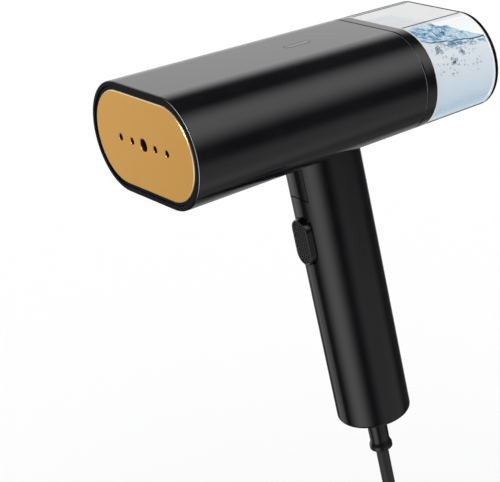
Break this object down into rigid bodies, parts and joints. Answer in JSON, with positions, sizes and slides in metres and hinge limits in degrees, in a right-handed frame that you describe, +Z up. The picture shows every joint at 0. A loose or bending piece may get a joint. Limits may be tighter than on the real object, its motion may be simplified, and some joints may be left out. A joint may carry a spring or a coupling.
{
  "type": "handheld garment steamer",
  "caption": "Oblong garment steamer head with gold steam plate and clear rear water tank on a round handle that folds forward, with trigger, cord and plug.",
  "frame": {"origin": "centre of the steam plate's outer face", "axes": "-Y out of the steam plate, +Y towards the water tank, +Z up with the handle hanging down, +X to the right seen from the front"},
  "size_m": [0.091, 0.2293, 0.3231],
  "materials": {
    "black_gloss": "gloss",
    "black_satin": "satin",
    "grey_plastic": "matt",
    "gold_plate": "satin anodised",
    "cast_alloy": "cast",
    "steel": "brushed",
    "plug_steel": "plated",
    "brass": "turned",
    "silicone": "soft",
    "rubber": "soft",
    "clear_plastic": "clear",
    "water": "clear",
    "copper": "wound wire",
    "board": "gloss",
    "led": "tinted",
    "smoked": "tinted",
    "red": "gloss"
  },
  "bodies": {
    "head": {"head_shell": "black_gloss", "front_bezel": "black_satin", "steam_plate": "gold_plate", "plate_gasket": "silicone", "boiler_body": "cast_alloy", "boiler_screws": "steel", "heating_element": "steel", "thermostat": "grey_plastic", "thermal_fuse": "steel", "boiler_inlet": "brass", "outlet_hose": "silicone", "pump_tube": "brass", "pump_coil": "copper", "pump_frame": "steel", "pump_feet": "rubber", "inlet_hose": "silicone", "dock_bulkhead": "grey_plastic", "dock_seal": "rubber", "indicator_lens": "smoked", "indicator_led": "led", "led_board": "board", "head_wiring": "red", "hinge_knuckle": "black_gloss", "knuckle_screws": "steel"},
    "handle": {"handle_tube": "black_gloss", "hinge_yoke": "grey_plastic", "hinge_pin": "steel", "hinge_washers": "brass", "trigger_spring": "steel", "switch_bracket": "grey_plastic", "microswitch": "grey_plastic", "handle_wiring": "red", "end_cap": "grey_plastic", "end_cap_screws": "steel", "cord_clamp": "grey_plastic", "cord_boot": "rubber", "cord": "rubber", "plug_body": "rubber", "plug_pins": "plug_steel"},
    "trigger": {"trigger": "black_satin"},
    "plunger": {"switch_plunger": "red"},
    "tank": {"tank_shell": "clear_plastic", "tank_lid": "black_gloss", "tank_seal": "rubber", "valve_body": "grey_plastic", "valve_spring": "steel", "filler_plug": "silicone", "vent_valve": "silicone", "water": "water"},
    "poppet": {"valve_poppet": "steel"}
  },
  "joints": [
    {"name": "handle_fold", "type": "hinge", "parent": "head", "child": "handle", "pos_m": [0, 0.0875, -0.0371], "axis": [-1, 0, 0], "range_deg": [0, 94.65]},
    {"name": "trigger_press", "type": "slide", "parent": "handle", "child": "trigger", "axis": [0, 0.9951, 0.0993], "range_m": [0, 0.0016], "stiffness_N_per_m": 600, "springref_m": -0.001, "deforming": ["trigger_spring"]},
    {"name": "plunger_press", "type": "slide", "parent": "handle", "child": "plunger", "axis": [0, 0.9951, 0.0993], "range_m": [0, 0.0016]},
    {"name": "tank_slide", "type": "slide", "parent": "head", "child": "tank", "axis": [0, 1, 0], "range_m": [0, 0.06]},
    {"name": "poppet_lift", "type": "slide", "parent": "tank", "child": "poppet", "axis": [0, -1, 0], "range_m": [0, 0.0015], "stiffness_N_per_m": 100, "springref_m": -0.001, "deforming": ["valve_spring"]}
  ],
  "couplings": [
    {"joint": "plunger_press", "follows": "trigger_press", "ratio": 1}
  ]
}
